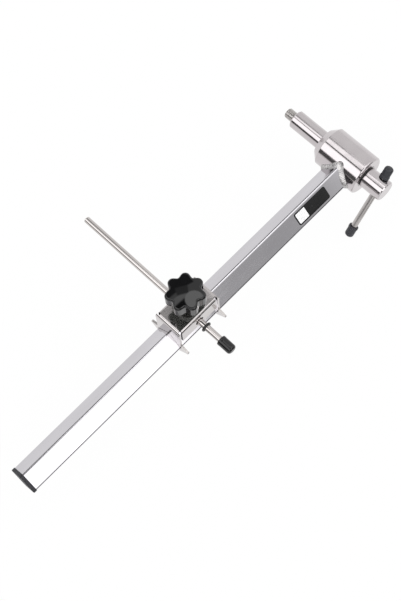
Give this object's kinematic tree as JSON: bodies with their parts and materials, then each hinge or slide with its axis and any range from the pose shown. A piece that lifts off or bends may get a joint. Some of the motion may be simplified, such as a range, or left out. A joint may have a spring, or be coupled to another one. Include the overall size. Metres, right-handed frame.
{
  "type": "derailleur hanger alignment tool",
  "caption": "Bicycle workshop gauge: a screw-in spindle with a cross handle carries a swinging square arm, on which a clamped carriage slides a gauge rod out to the wheel rim.",
  "frame": {"origin": "on the spindle axis, on the shoulder that seats against the hanger, where the thread begins", "axes": "+Y along the spindle out past the thread tip, +X along the arm from its open end towards the head, +Z towards the clamp knob"},
  "size_m": [0.4228, 0.177, 0.1163],
  "materials": {
    "polished_steel": "polished, faint lengthwise grain",
    "sheet_steel": "bright rolled sheet, lightly polished",
    "weld_steel": "brushed over weld ripples",
    "bush_steel": "plain steel-backed bush, matt",
    "ring_steel": "blackened spring steel",
    "thrust_nylon": "matt",
    "shoe_brass": "turned",
    "cap_vinyl": "soft satin vinyl",
    "end_cap_plastic": "fine moulded grain",
    "knob_plastic": "glossy moulded"
  },
  "bodies": {
    "arm": {"arm_tube": "polished_steel", "arm_end_cap": "end_cap_plastic", "head_barrel": "polished_steel", "weld_bead": "weld_steel", "front_bush": "bush_steel", "rear_bush": "bush_steel", "shim_washer": "sheet_steel"},
    "spindle": {"spindle": "polished_steel", "thrust_washer": "thrust_nylon", "retaining_ring": "ring_steel"},
    "handle": {"handle_bar": "polished_steel", "handle_cap_upper": "cap_vinyl", "handle_cap_lower": "cap_vinyl"},
    "carriage": {"carriage_plate": "sheet_steel", "rod_guide_block": "sheet_steel", "pressure_pad": "thrust_nylon"},
    "rod": {"gauge_rod": "polished_steel", "gauge_rod_cap": "cap_vinyl"},
    "marker": {"marker_ring": "cap_vinyl"},
    "shoe": {"clamp_shoe": "shoe_brass"},
    "knob": {"clamp_stud": "polished_steel", "clamp_knob": "knob_plastic"}
  },
  "joints": [
    {"name": "spindle_turn", "type": "hinge", "parent": "arm", "child": "spindle", "pos_m": [0, -0.0655, 0], "axis": [0, 1, 0], "continuous": true},
    {"name": "handle_slide", "type": "slide", "parent": "spindle", "child": "handle", "axis": [0.5948, 0, 0.8039], "range_m": [0, 0.0378]},
    {"name": "carriage_slide", "type": "slide", "parent": "arm", "child": "carriage", "axis": [1, 0, 0], "range_m": [-0.1685, 0.1365]},
    {"name": "rod_slide", "type": "slide", "parent": "carriage", "child": "rod", "axis": [0, 1, 0], "range_m": [-0.105, 0.003]},
    {"name": "marker_slide", "type": "slide", "parent": "rod", "child": "marker", "axis": [0, 1, 0], "range_m": [-0.0155, 0.0035]},
    {"name": "shoe_lift", "type": "slide", "parent": "carriage", "child": "shoe", "axis": [0, 0, 1], "range_m": [0, 0.0025]},
    {"name": "knob_turn", "type": "hinge", "parent": "shoe", "child": "knob", "pos_m": [-0.2062, -0.0655, 0.05], "axis": [0, 0, 1], "range_deg": [0, 721]}
  ],
  "couplings": [
    {"joint": "knob_turn", "follows": "shoe_lift", "rad_per_m": 5026.5}
  ]
}
